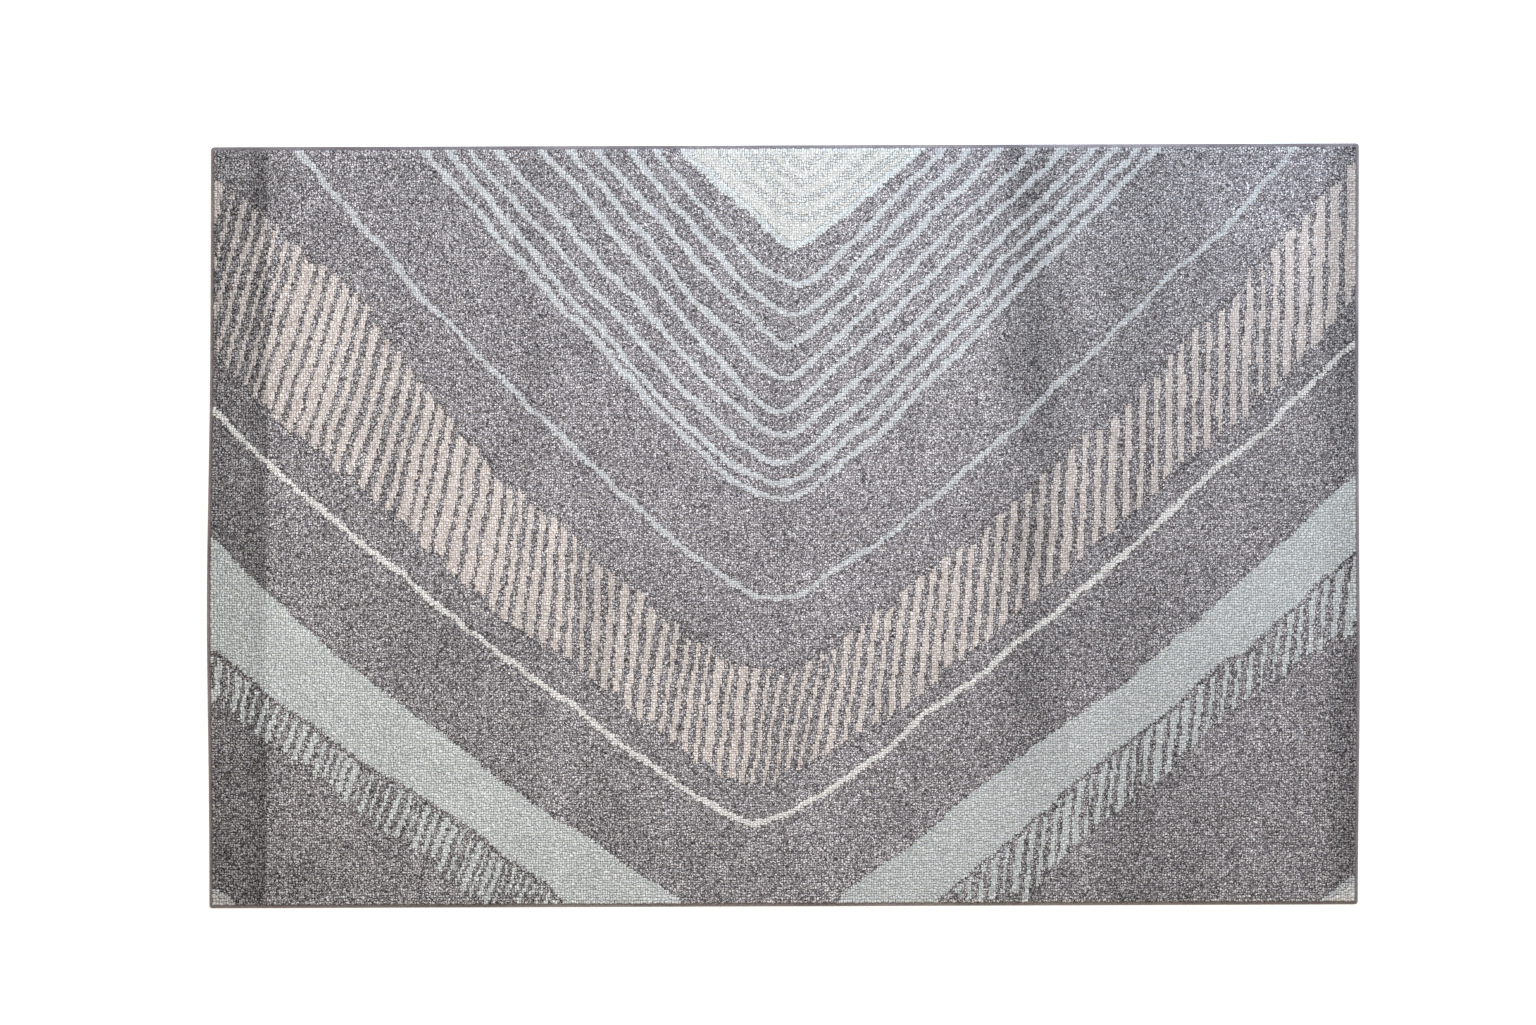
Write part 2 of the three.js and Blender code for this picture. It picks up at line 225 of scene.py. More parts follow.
def pile_yarn(name, dark, middle, light, bundle_share, painted_shade_share):
    """A matt spun yarn. The shares say how much bundles and painted shade change it."""
    yarn = new_material(name)
    place = add_node(yarn, "ShaderNodeTexCoord")
    bundles = add_node(
        yarn,
        "ShaderNodeTexVoronoi",
        {"Vector": place.outputs["Object"], "Scale": 1 / BUNDLE},
    )
    chance = add_node(yarn, "ShaderNodeSeparateColor", {"Color": bundles.outputs["Color"]})
    mottle = add_node(yarn, "ShaderNodeAttribute", attribute_name="mottle")
    tone = add_node(yarn, "ShaderNodeAttribute", attribute_name="tone")
    nap = add_node(yarn, "ShaderNodeAttribute", attribute_name="nap")
    spread = add_node(
        yarn,
        "ShaderNodeMath",
        {0: chance.outputs["Red"], 1: bundle_share, 2: -bundle_share / 2},
        operation="MULTIPLY_ADD",
    )
    tuft_shade = add_node(
        yarn,
        "ShaderNodeMath",
        {0: tone.outputs["Fac"], 1: TONE_SHARE, 2: 0.5},
        operation="MULTIPLY_ADD",
    )
    shade = add_node(
        yarn,
        "ShaderNodeMath",
        {
            0: spread.outputs["Value"],
            1: mottle.outputs["Fac"],
            2: tuft_shade.outputs["Value"],
        },
        operation="MULTIPLY_ADD",
    )
    dye = add_node(yarn, "ShaderNodeValToRGB", {"Fac": shade.outputs["Value"]})
    dye.color_ramp.elements[0].color = linear(dark)
    dye.color_ramp.elements[1].color = linear(light)
    dye.color_ramp.elements.new(0.5).color = linear(middle)
    # Painted light and shade of the pile's lay scales the yarn's colour, by the yarn's share.
    lean = add_node(
        yarn,
        "ShaderNodeMath",
        {0: nap.outputs["Fac"], 1: painted_shade_share, 2: 1 - painted_shade_share},
        operation="MULTIPLY_ADD",
    )
    colour = add_node(
        yarn,
        "ShaderNodeVectorMath",
        {0: dye.outputs["Color"], "Scale": lean.outputs["Value"]},
        operation="SCALE",
    )
    rough = add_node(
        yarn,
        "ShaderNodeMath",
        {0: chance.outputs["Green"], 1: ROUGH_SPREAD, 2: LEAST_ROUGH},
        operation="MULTIPLY_ADD",
    )
    bump = add_node(
        yarn,
        "ShaderNodeBump",
        {
            "Height": bundles.outputs["Distance"],
            "Distance": BUNDLE_RISE,
            "Strength": BUNDLE_BUMP,
        },
        invert=True,
    )
    fibre = add_node(
        yarn,
        "ShaderNodeBsdfPrincipled",
        {
            "Base Color": colour.outputs["Vector"],
            "Normal": bump.outputs["Normal"],
            "Roughness": rough.outputs["Value"],
            "Specular IOR Level": 0.1,
            "Sheen Weight": 0.15,
            "Sheen Roughness": 0.6,
        },
    )
    add_node(yarn, "ShaderNodeOutputMaterial", {"Surface": fibre.outputs["BSDF"]})
    return yarn


yarns = {
    "heather": pile_yarn("heather_frieze_yarn", "#221e21", "#7b747a", "#e9e4e8", 0.95, 1),
    "duck_egg": pile_yarn("duck_egg_frieze_yarn", "#959798", "#c9cbcd", "#f0f2f3", 0.7, 0.4),
    # The lines and tip edges take a darker, greyer copy of the duck-egg yarn: painted shade.
    "shaded_duck_egg": pile_yarn("shaded_duck_egg_frieze_yarn", "#93959a", "#c2c2c5", "#e8e8eb", 0.65, 0.4),
    "ivory": pile_yarn("ivory_frieze_yarn", "#b0adab", "#d6d3d3", "#fdfbfa", 0.7, 0.4),
    "bone": pile_yarn("ivory_melange_frieze_yarn", "#9c9a93", "#cdcbc9", "#f1f1f0", 0.6, 0.4),
    "blush": pile_yarn("blush_frieze_yarn", "#9a8d88", "#cfc4c2", "#f3ecea", 0.65, 0.6),
}
print(f"{len(yarns)} pile yarns")

# %% [markdown]
# ## The loom's grid
#
# All tufts start as one flat grid, as on the loom. A grid primitive gives it, and its
# inner points are moved a little at random, because no two tufts stand exactly in line.

# %% Lay out the tufts
TUFT_PITCH = 3.75 * MM
BASE = 0.8 * MM
POINT_STRAY = 1.1 * MM
LOOM_SEED = 11

pile_nodes = [n for n in sorted(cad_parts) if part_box(n)[1].z > rug_high.z - MM]
pile_low = Vector([min(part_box(n)[0][i] for n in pile_nodes) for i in range(3)])
pile_high = Vector([max(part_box(n)[1][i] for n in pile_nodes) for i in range(3)])
columns = round((pile_high.x - pile_low.x) / TUFT_PITCH)
rows = round((pile_high.y - pile_low.y) / TUFT_PITCH)
root_height = pile_low.z + BASE
dice = np.random.default_rng(LOOM_SEED)

bpy.ops.object.select_all(action="DESELECT")
bpy.ops.mesh.primitive_grid_add(x_subdivisions=columns, y_subdivisions=rows, size=1)
bpy.ops.transform.resize(
    value=(pile_high.x - pile_low.x, pile_high.y - pile_low.y, 1)
)
bpy.ops.transform.translate(
    value=(
        (pile_low.x + pile_high.x) / 2,
        (pile_low.y + pile_high.y) / 2,
        root_height,
    )
)
bpy.ops.object.transform_apply()
loom = bpy.context.object
loom.name = "loom_grid"


def points_of(mesh):
    """The mesh's vertices as rows of x, y, z."""
    co = np.empty(len(mesh.vertices) * 3, np.float32)
    mesh.vertices.foreach_get("co", co)
    return co.reshape(-1, 3)


def set_points(mesh, co):
    """Puts the vertices where the rows of x, y, z say."""
    mesh.vertices.foreach_set("co", co.astype(np.float32).ravel())
    mesh.update()


def centres_of(mesh):
    """The faces' centres as rows of x, y, z."""
    co = np.empty(len(mesh.polygons) * 3, np.float32)
    mesh.polygons.foreach_get("center", co)
    return co.reshape(-1, 3)


middles = centres_of(loom.data)
points = points_of(loom.data)
inner = (
    (np.abs(points[:, 0] - pile_low.x) > 0.5 * TUFT_PITCH)
    & (np.abs(points[:, 0] - pile_high.x) > 0.5 * TUFT_PITCH)
    & (np.abs(points[:, 1] - pile_low.y) > 0.5 * TUFT_PITCH)
    & (np.abs(points[:, 1] - pile_high.y) > 0.5 * TUFT_PITCH)
)
points[:, :2] += inner[:, None] * dice.uniform(-POINT_STRAY, POINT_STRAY, (len(points), 2))
set_points(loom.data, points)
tuft_x, tuft_y = middles[:, 0].astype(float), middles[:, 1].astype(float)
print(f"{columns} x {rows} = {len(middles)} tufts, {len(pile_nodes)} pile areas")

# %% [markdown]
# ## Soft random hills
#
# Wobbly edges, cloudy patches and uneven stripes all need numbers that change smoothly
# from place to place. This is value noise: random heights on a square grid, and an eased
# slope between them.

# %% Smooth noise
def hills(x, y, size, seed):
    """Smooth random heights from -1 to 1, with hills `size` metres apart."""
    across = int(1.2 * max(rug_length, rug_width) / size) + 4
    heights = np.random.default_rng(seed).uniform(-1, 1, (across, across))
    u = np.asarray(x) / size + across / 2
    v = np.asarray(y) / size + across / 2
    i = np.clip(np.floor(u).astype(int), 0, across - 2)
    j = np.clip(np.floor(v).astype(int), 0, across - 2)
    s, t = u - i, v - j
    s, t = s * s * (3 - 2 * s), t * t * (3 - 2 * t)
    near = heights[i, j] * (1 - s) + heights[i + 1, j] * s
    far = heights[i, j + 1] * (1 - s) + heights[i + 1, j + 1] * s
    return near * (1 - t) + far * t


# %% [markdown]
# ## Which tuft belongs to which area
#
# The frame's pile solids hold the drawing. Each tuft takes the area whose solid is
# nearest to it. The point that is asked about strays by a few millimetres, so an edge
# wanders by a tuft here and there, and sways slowly, as the drawn lines of the rug do.

# %% Read the drawing from the frame's solids
EDGE_WANDER = 2.6 * MM
WANDER_LENGTH = 20 * MM
EDGE_FRAY = 0.9 * MM
LINE_SWAY = 4.5 * MM
SWAY_LENGTH = 75 * MM

corners, faces, owner = [], [], []
for number, node in enumerate(pile_nodes):
    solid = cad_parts[node].data
    start = len(corners)
    corners += [v.co.copy() for v in solid.vertices]
    faces += [[start + i for i in p.vertices] for p in solid.polygons]
    owner += [number] * len(solid.polygons)
drawing = BVHTree.FromPolygons(corners, faces)


def area_at(x, y):
    """The numbers of the areas nearest to the asked points."""
    x = np.clip(x, pile_low.x + MM, pile_high.x - MM)
    y = np.clip(y, pile_low.y + MM, pile_high.y - MM)
    spots = zip(x.tolist(), y.tolist())
    return np.array([owner[drawing.find_nearest((a, b, pile_high.z))[2]] for a, b in spots])


asked_x = tuft_x + EDGE_WANDER * hills(tuft_x, tuft_y, WANDER_LENGTH, 21)
asked_y = tuft_y + EDGE_WANDER * hills(tuft_x, tuft_y, WANDER_LENGTH, 22)
asked_x += LINE_SWAY * hills(tuft_x, tuft_y, SWAY_LENGTH, 26)
asked_y += LINE_SWAY * hills(tuft_x, tuft_y, SWAY_LENGTH, 27)
asked_x += dice.uniform(-EDGE_FRAY, EDGE_FRAY, len(tuft_x))
asked_y += dice.uniform(-EDGE_FRAY, EDGE_FRAY, len(tuft_x))
area = area_at(asked_x, asked_y)
print("tufts in the largest area:", np.bincount(area).max())

# %% [markdown]
# The lines swell and thin along their way, and the faint chevrons of the apex are broken
# up, with ivory tufts among theirs. A tuft leaves a line where the place a millimetre or
# two above it, or below it, is outside that line.

# %% Thin the lines and break up the faint ones
LINE_THINNING = 1.1 * MM
THINNING_SPREAD = 1.2
THICK_AND_THIN = 45 * MM
FAINT_BREAKS = 0.3

is_line = np.array(["_line" in name for name in pile_nodes])
lined = np.flatnonzero(is_line[area])
swell = hills(tuft_x[lined], tuft_y[lined], THICK_AND_THIN, 23)
shift = LINE_THINNING * (1 + THINNING_SPREAD * swell)
for side in (1, -1):
    beside = area_at(asked_x[lined], asked_y[lined] + side * shift)
    leaves = beside != area[lined]
    area[lined[leaves]] = beside[leaves]

for number, name in enumerate(pile_nodes):
    if name.startswith("apex_faint_line"):
        broken = (area == number) & (dice.random(len(area)) < FAINT_BREAKS)
        area[broken] = pile_nodes.index(name.replace("faint_line", "ivory_field"))
print(len(lined), "tufts in lines before,", is_line[area].sum(), "after")

# %% [markdown]
# The ivory tips in the two near corners have a pale duck-egg edge, two tufts wide.

# %% Edge the corner tips
TIP_EDGE = 5 * MM

names = list(pile_nodes)
node_of = {name: name for name in names}
for side, inward in (("left", 1), ("right", -1)):
    tip = names.index(f"ivory_tip_{side}")
    own = np.flatnonzero(area == tip)
    beside = area_at(asked_x[own] + inward * TIP_EDGE, asked_y[own] + TIP_EDGE)
    names.append(f"tip_edge_{side}")
    node_of[names[-1]] = names[tip]
    area[own[beside != tip]] = len(names) - 1

# %% [markdown]
# ## Stripes
#
# The broad chevron is blush stripes on heather, and the bands below the pale ones are
# duck-egg strokes on heather. They lean, and their spacing drifts, as hand-drawn hatching
# does. A band is counted in stripes along its middle line: `stations` says at which x
# the count has reached which number. A second list gives the lean in degrees.

# %% Stripes as a count along the band
STRIPE_WAVER = 2.2 * MM
WAVER_LENGTH = 34 * MM
WIDTH_DRIFT = 0.12
WIDTH_LENGTH = 42 * MM
END_STRAY = 11 * MM
HATCH_GAP = 5 * MM


def band_middle(members):
    """The height of the band's middle line at each tuft's x."""
    slot = np.clip(((tuft_x - pile_low.x) / TUFT_PITCH).astype(int), 0, columns - 1)
    total = np.bincount(slot[members], tuft_y[members], columns)
    many = np.bincount(slot[members], minlength=columns)
    known = many > 0
    middle = np.interp(np.arange(columns), np.flatnonzero(known), total[known] / many[known])
    return middle[slot]


def stripes(members, stations, leans, fullness, stray, gap_above, seed):
    """For each member tuft: does a stripe cover it, and the number of that stripe."""
    middle = band_middle(members)[members]
    x, y = tuft_x[members], tuft_y[members] - middle
    lean = np.interp(x, *zip(*[(a * MM, math.radians(b)) for a, b in leans]))
    x = x - y * np.tan(lean) + STRIPE_WAVER * hills(x, tuft_y[members], WAVER_LENGTH, seed)
    count = np.interp(x, *zip(*[(a * MM, b) for a, b in stations]))
    number = np.round(count).astype(int)
    draw = np.random.default_rng(seed)
    own = number - number.min()
    own_width, short_above, short_below = draw.uniform(-1, 1, (3, own.max() + 1))
    width = np.interp(x, *zip(*[(a * MM, b) for a, b in fullness]))
    width += stray * own_width[own]
    width += WIDTH_DRIFT * hills(x, tuft_y[members], WIDTH_LENGTH, seed + 1)
    slot = ((tuft_x[members] - pile_low.x) / TUFT_PITCH).astype(int)
    tallest = np.zeros(columns + 1)
    np.maximum.at(tallest, slot, np.abs(y))
    to_edge = tallest[slot] - np.abs(y)
    short_above = np.maximum(short_above, gap_above / END_STRAY)
    short = np.where(y > 0, short_above[own], short_below[own])
    covered = np.abs(count - number) < width / 2
    return covered & (to_edge > END_STRAY * short), number


BLUSH_FULLNESS = [
    (-905, 0.44), (-820, 0.48), (-795, 0.62), (-480, 0.64), (-300, 0.56), (-205, 0.5),
    (172, 0.5), (360, 0.57), (640, 0.54), (739, 0.5), (850, 0.62),
]
HATCH_FULLNESS = [(-905, 0.48), (0, 0.5), (905, 0.56)]
BLUSH_STATIONS = [
    (-915, -3), (-865, 0), (-802, 4), (-726, 8), (-615, 14), (-546, 18), (-463, 22),
    (-316, 30), (-198, 36), (-111, 41), (20, 48), (109, 52), (225, 57), (352, 63),
    (448, 67), (586, 73), (687, 78), (793, 83), (915, 88),
]
BLUSH_LEANS = [
    (-860, 12), (-735, 14), (-560, 10), (-435, 8), (-313, 2), (-193, 8), (-75, 6),
    (30, 14), (170, 8), (350, 6), (530, 2), (650, 0), (830, 2),
]
LEFT_STATIONS = [
    (-915, -3), (-875, 0), (-805, 5), (-729, 10), (-658, 16), (-584, 21), (-502, 27),
    (-394, 36), (-330, 41),
]
LEFT_LEANS = [(-860, 6), (-790, 17), (-450, 17), (-370, 24)]
RIGHT_STATIONS = [
    (255, -3), (312, 0), (446, 7), (552, 13), (672, 19), (775, 24), (849, 28), (915, 31),
]
RIGHT_LEANS = [(300, 4), (400, 9), (560, 6), (700, 8), (840, 7)]

stripe_number = np.full(len(area), -1)
for node, stations, leans, fullness, stray, gap_above, seed in (
    ("blush_striped_band", BLUSH_STATIONS, BLUSH_LEANS, BLUSH_FULLNESS, 0.15, -END_STRAY, 31),
    ("hatched_band_left", LEFT_STATIONS, LEFT_LEANS, HATCH_FULLNESS, 0.24, HATCH_GAP, 41),
    ("hatched_band_right", RIGHT_STATIONS, RIGHT_LEANS, HATCH_FULLNESS, 0.24, HATCH_GAP, 51),
):
    members = np.flatnonzero(area == pile_nodes.index(node))
    covered, number = stripes(members, stations, leans, fullness, stray, gap_above, seed)
    stripe_number[members] = np.where(covered, number, -1)
    names.append(node + "_ground")
    node_of[node + "_ground"] = node
    area[members[~covered]] = len(names) - 1
    print(node, "is", round(100 * covered.mean()), "% stripe")

# %% [markdown]
# ## Painted shade and tone
#
# Each tuft gets two numbers that its yarn material reads. `tone` is chance. The other is
# painted light and shade: 1 where the pile stands as the light likes it, and less where it
# has been pressed or brushed the other way: in the marks that the roll left across the
# rug, and in loose clouds and patches all over. The heather between the stripes gets
# painted shade, and stripes 30 to 32 in the near left quarter are darker as browner dye.
# The pale lines and stripes are a little lighter at the left end, and three areas are
# darker as a whole.

# %% Shade each tuft
# Painted light and shade of the pile: loose clouds, roll marks and oval patches.
SHADE_CLOUDS = ((0.07, 90 * MM, 61), (0.06, 38 * MM, 62))
SWERVE = 9 * MM
LEAST_SWERVE = 0.1
SWERVE_FADE = 450 * MM
SWERVE_LENGTH = 160 * MM
MOTTLE_ALONG = [1.4, 1.2, 1.05]
DARK_MOTTLE = 0.8
STRIPE_MOTTLE = 1.2
GAP_SHADE = 0.92
FAINT_LIGHTENING = 1.05
AREA_DARKENING = {"ivory_tip_left": 0.4, "duck_egg_band_right": 0.7, "hatched_band_right": 0.85}
TAN_STRIPES = (30, 31, 32)
TAN_DYE = 0.85
LINE_DRIFT = 0.25
STRIPE_DRIFT = 0.13
TONE_SPREAD = 0.4
# Painted light and shade in bands across the rug, where the roll pressed the pile.
ROLL_MARK_SHADE = [
    (-905, 0.58), (-880, 0.64), (-855, 0.72), (-830, 0.56), (-817, 0.56), (-811, 0.98),
    (-780, 1.0), (-700, 1.02), (-640, 0.96), (-600, 0.92), (-560, 0.98), (-430, 0.98),
    (-398, 0.88), (-355, 1.06), (-300, 0.93), (-260, 1.0), (-30, 1.02), (-16, 0.95),
    (20, 1.05), (240, 1.02), (310, 1.0), (350, 0.82), (375, 0.68), (400, 0.65),
    (432, 0.82), (475, 0.96), (500, 0.93), (525, 0.82), (575, 0.78), (600, 0.88),
    (650, 0.88), (700, 0.96), (800, 1.03), (840, 0.98), (865, 0.74), (905, 0.58),
]


def shade_patch(place, reach, strength):
    """A soft oval patch of painted light and shade, its strength added at its middle."""
    away = ((tuft_x - place[0] * MM) / (reach[0] * MM)) ** 2
    away += ((tuft_y - place[1] * MM) / (reach[1] * MM)) ** 2
    return strength * np.exp(-away)


# Painted light and shade in soft oval patches.
SHADE_PATCHES = [
    ((760, 500), (130, 110), 0.18), ((850, 560), (26, 26), 0.2), ((820, 220), (90, 100), -0.17),
    ((-110, 230), (60, 80), 0.14), ((300, 310), (45, 90), 0.16), ((150, 390), (60, 60), 0.14),
    ((-860, 510), (36, 70), -0.1), ((-857, 560), (20, 16), 0.3), ((-860, -560), (80, 90), -0.05),
    ((-770, -560), (80, 70), -0.18), ((-270, -530), (110, 80), -0.16),
    ((-150, -180), (90, 60), -0.16), ((215, -280), (70, 80), -0.16),
    ((-520, -170), (150, 60), -0.13), ((390, -510), (70, 60), 0.2), ((20, -440), (70, 60), 0.1),
    ((-855, -20), (40, 100), -0.14), ((680, -350), (60, 60), 0.08), ((850, -170), (40, 60), 0.12),
    ((-400, 190), (50, 70), -0.12), ((-400, 20), (50, 50), 0.12), ((890, -500), (20, 200), -0.1),
    ((312, 12), (50, 60), -0.12), ((491, 12), (40, 50), -0.1), ((402, 192), (36, 60), -0.08),
    ((-764, -435), (50, 50), -0.08), ((42, -346), (50, 40), -0.1), ((-405, 461), (40, 50), -0.08),
    ((-320, -600), (330, 18), -0.17), ((581, -600), (120, 18), -0.15),
    ((402, 510), (45, 60), -0.13), ((-136, 490), (36, 60), -0.1), ((0, 285), (60, 30), -0.1),
    ((400, -40), (90, 60), -0.08), ((260, -210), (60, 60), -0.07), ((-675, 102), (40, 40), 0.14),
    ((350, -480), (60, 60), 0.14), ((-764, -130), (50, 60), 0.12), ((860, -60), (40, 180), 0.08),
]
swerve = SWERVE * np.clip(2 - np.abs(tuft_x) / SWERVE_FADE, LEAST_SWERVE, 1)
across = tuft_x + swerve * hills(tuft_x, tuft_y, SWERVE_LENGTH, 63)
nap = np.interp(across, *zip(*[(a * MM, b) for a, b in ROLL_MARK_SHADE]))
nap += sum(rise * hills(tuft_x, tuft_y, size, seed) for rise, size, seed in SHADE_CLOUDS)
nap += sum(shade_patch(*each) for each in SHADE_PATCHES)
mottle = np.interp(tuft_x, [-rug_length / 2, 0, rug_length / 2], MOTTLE_ALONG)
# The bundles part more where the painted shade is darker: painted shade in the gaps.
mottle += DARK_MOTTLE * np.clip(1 - nap, 0, 1)
in_gap = np.array(["_ground" in name for name in names])[area]
in_stripe = stripe_number >= 0
# The heather between the stripes gets painted shade.
nap[in_gap] *= GAP_SHADE
mottle[in_gap] *= STRIPE_MOTTLE
near_left = (tuft_y < 0) & (tuft_x < 0)
# Stripes 30 to 32 in the near left quarter are browner dye, so darker.
nap[in_stripe & np.isin(stripe_number, TAN_STRIPES) & near_left] *= TAN_DYE
mottle[in_stripe] *= STRIPE_MOTTLE
in_faint = np.array([n.startswith(("apex_outline", "apex_faint")) for n in names])[area]
nap[in_faint] *= FAINT_LIGHTENING
drift = np.clip(-2 * tuft_x / rug_length, -1, 1)
in_line = np.array(["_line" in name for name in names])[area]
nap[in_line] *= 1 + LINE_DRIFT * drift[in_line]
nap[in_stripe] *= 1 + STRIPE_DRIFT * drift[in_stripe]
for name, factor in AREA_DARKENING.items():
    nap[area == names.index(name)] *= factor
tone = dice.normal(0, TONE_SPREAD, len(area)).clip(-1, 1)
print("nap from", round(nap.min(), 2), "to", round(nap.max(), 2))

YARN_OF = {
    "heather": "heather", "hatched": "duck_egg", "duck": "duck_egg", "fine": "shaded_duck_egg",
    "wide": "shaded_duck_egg", "ivory": "ivory", "blush": "blush",
    "apex_outline": "duck_egg", "apex_faint": "duck_egg", "apex_ivory": "bone", "tip": "shaded_duck_egg",
}


def yarn_for(name):
    """The yarn of a pile area, from the first words of its name."""
    if "_ground" in name:
        return "heather"
    return YARN_OF[next(k for k in sorted(YARN_OF, reverse=True) if name.startswith(k))]


# %% [markdown]
# ## Cut the grid into its areas
#
# The grid carries the numbers as face attributes, which every later step hands down to
# the faces it makes. Each area has its own material slot, so one separate operator cuts
# the grid into all the pieces.

# %% Split the largest fields, write the attributes and separate
MOST_TUFTS = 18000

for number in range(len(names)):
    if (area == number).sum() > MOST_TUFTS:
        names.append(names[number] + "_right")
        node_of[names[-1]] = node_of[names[number]]
        area[(area == number) & (tuft_x > 0)] = len(names) - 1
        print(names[number], "is cut in two")

for name, values, kind in (
    ("tone", tone, "FLOAT"),
    ("nap", nap, "FLOAT"),
    ("mottle", mottle, "FLOAT"),
    ("area", area, "INT"),
):
    written = loom.data.attributes.new(name, kind, "FACE")
    written.data.foreach_set("value", values)

used = sorted(set(area.tolist()))
for number in used:
    loom.data.materials.append(yarns[yarn_for(names[number])])
slot_of = np.zeros(len(names), int)
slot_of[used] = np.arange(len(used))
loom.data.polygons.foreach_set("material_index", slot_of[area])

bpy.ops.object.mode_set(mode="EDIT")
bpy.ops.mesh.separate(type="MATERIAL")
bpy.ops.object.mode_set(mode="OBJECT")
pile = {}
for piece in list(bpy.context.selected_objects):
    name = names[piece.data.attributes["area"].data[0].value]
    piece.name = piece.data.name = name + "_tufts"
    pile[name] = piece
print(f"{len(pile)} pile pieces")

# %% [markdown]
# ## Raise the tufts
#
# Each piece is still a flat sheet of cells. It is drawn in a little all round so that it
# stays clear of its neighbours, its edge is pulled down to the ground weave, and the
# underside is filled. Then one inset, with each face on its own and with depth, turns
# every cell into a tuft: a block with steep sides and a smaller cut top.
#
# An inset is chosen over copies of one modelled tuft because it keeps a piece one closed
# mesh, with ten triangles a tuft, and there are about 150,000 tufts.

# %% The steps for one piece
GAP = 0.15 * MM
TUFT_SIDE = 0.42 * MM
TUFT_HEIGHT = pile_high.z - root_height - 0.6 * MM
HEIGHT_STRAY = 0.45 * MM
CUT_STRAY = 0.3 * MM
LEAN_STRAY = 0.55 * MM
UPWARD = 0.7


def facing_up(mesh):
    """True for each face whose normal points up."""
    normal = np.empty(len(mesh.polygons) * 3, np.float32)
    mesh.polygons.foreach_get("normal", normal)
    return normal.reshape(-1, 3)[:, 2] > UPWARD


def pick_faces(piece, chosen):
    """Selects those faces and no others, and opens the piece for editing."""
    bpy.ops.object.select_all(action="DESELECT")
    bpy.context.view_layer.objects.active = piece
    piece.select_set(True)
    bpy.ops.object.mode_set(mode="EDIT")
    bpy.ops.mesh.select_mode(type="FACE")
    bpy.ops.mesh.select_all(action="DESELECT")
    bpy.ops.object.mode_set(mode="OBJECT")
    piece.data.polygons.foreach_set("select", chosen)
    bpy.ops.object.mode_set(mode="EDIT")


def make_closed_sheet(piece):
    """Draws the sheet's edge in, pulls it down to the weave and fills the underside."""
    pick_faces(piece, np.ones(len(piece.data.polygons), bool))
    bpy.ops.mesh.inset(thickness=GAP, use_boundary=True, use_even_offset=False)
    bpy.ops.mesh.select_all(action="INVERT")
    bpy.ops.mesh.delete(type="FACE")
    bpy.ops.mesh.select_mode(type="EDGE")
    bpy.ops.mesh.select_non_manifold(
        extend=False,
        use_wire=False,
        use_multi_face=False,
        use_non_contiguous=False,
        use_verts=False,
    )
    bpy.ops.mesh.extrude_edges_move(TRANSFORM_OT_translate={"value": (0, 0, -BASE)})
    bpy.ops.mesh.fill(use_beauty=False)
    bpy.ops.object.mode_set(mode="OBJECT")


def raise_tufts(piece):
    """Insets every cell of the top on its own and lifts it, then lets the tufts stray.

    Known fault: a few sliver triangles of the filled underside have a wrong normal, pass
    for cells and are raised too. Their centres lie BASE lower than those of the cells.
    """
    pick_faces(piece, facing_up(piece.data))
    bpy.ops.mesh.inset(thickness=TUFT_SIDE, depth=TUFT_HEIGHT, use_individual=True)
    bpy.ops.object.mode_set(mode="OBJECT")
    mesh = piece.data
    cut = np.empty(len(mesh.polygons), bool)
    mesh.polygons.foreach_get("select", cut)
    first = np.empty(len(mesh.polygons), np.int32)
    mesh.polygons.foreach_get("loop_start", first)
    at = np.empty(len(mesh.loops), np.int32)
    mesh.loops.foreach_get("vertex_index", at)
    tops = at[first[cut][:, None] + np.arange(4)]
    co = points_of(mesh)
    lean = dice.uniform(-LEAN_STRAY, LEAN_STRAY, (len(tops), 1, 3))
    lean[:, :, 2] *= HEIGHT_STRAY / LEAN_STRAY
    co[tops] += lean
    co[tops, 2] += dice.uniform(-CUT_STRAY, CUT_STRAY, tops.shape)
    set_points(mesh, co)
    bpy.ops.object.shade_smooth()


# %% [markdown]
# Nothing stands beside the outermost tufts, so they lean out over the binding and hide
# its inner half. The tops are moved and the roots stay.

# %% Lean the outer rows over the binding
SPLAY = 3.2 * MM
SPLAY_REACH = 2.2 * TUFT_PITCH


def splay(piece):
    """Moves the tops of the outermost tufts outwards."""
    co = points_of(piece.data)
    top = co[:, 2] > root_height + TUFT_HEIGHT / 2
    for axis in (0, 1):
        side = np.sign(co[:, axis])
        room = np.where(side > 0, pile_high[axis] - co[:, axis], co[:, axis] - pile_low[axis])
        co[:, axis] += side * top * SPLAY * np.clip(1 - room / SPLAY_REACH, 0, 1)
    set_points(piece.data, co)


# %% Raise them all
triangles = 0
for name, piece in pile.items():
    make_closed_sheet(piece)
    raise_tufts(piece)
    splay(piece)
    piece.data.materials[0] = yarns[yarn_for(name)]
    triangles += sum(len(p.vertices) - 2 for p in piece.data.polygons)
print(f"{triangles} triangles of pile")

# %% [markdown]
# ## Ground weave
#
# Under the pile lies the cloth that holds it: thin cotton warps, close together, and
# thick jute wefts in pairs. It is a flat sheet with ribs, so it starts as a grid whose
# rows are lifted in turn, and a solidify modifier gives it its thickness.

# %% Weave the ground cloth
WARP = 1.9 * MM
WEFT = 3.75 * MM
RIB = 0.12 * MM
THREAD_RISE = 0.4 * MM


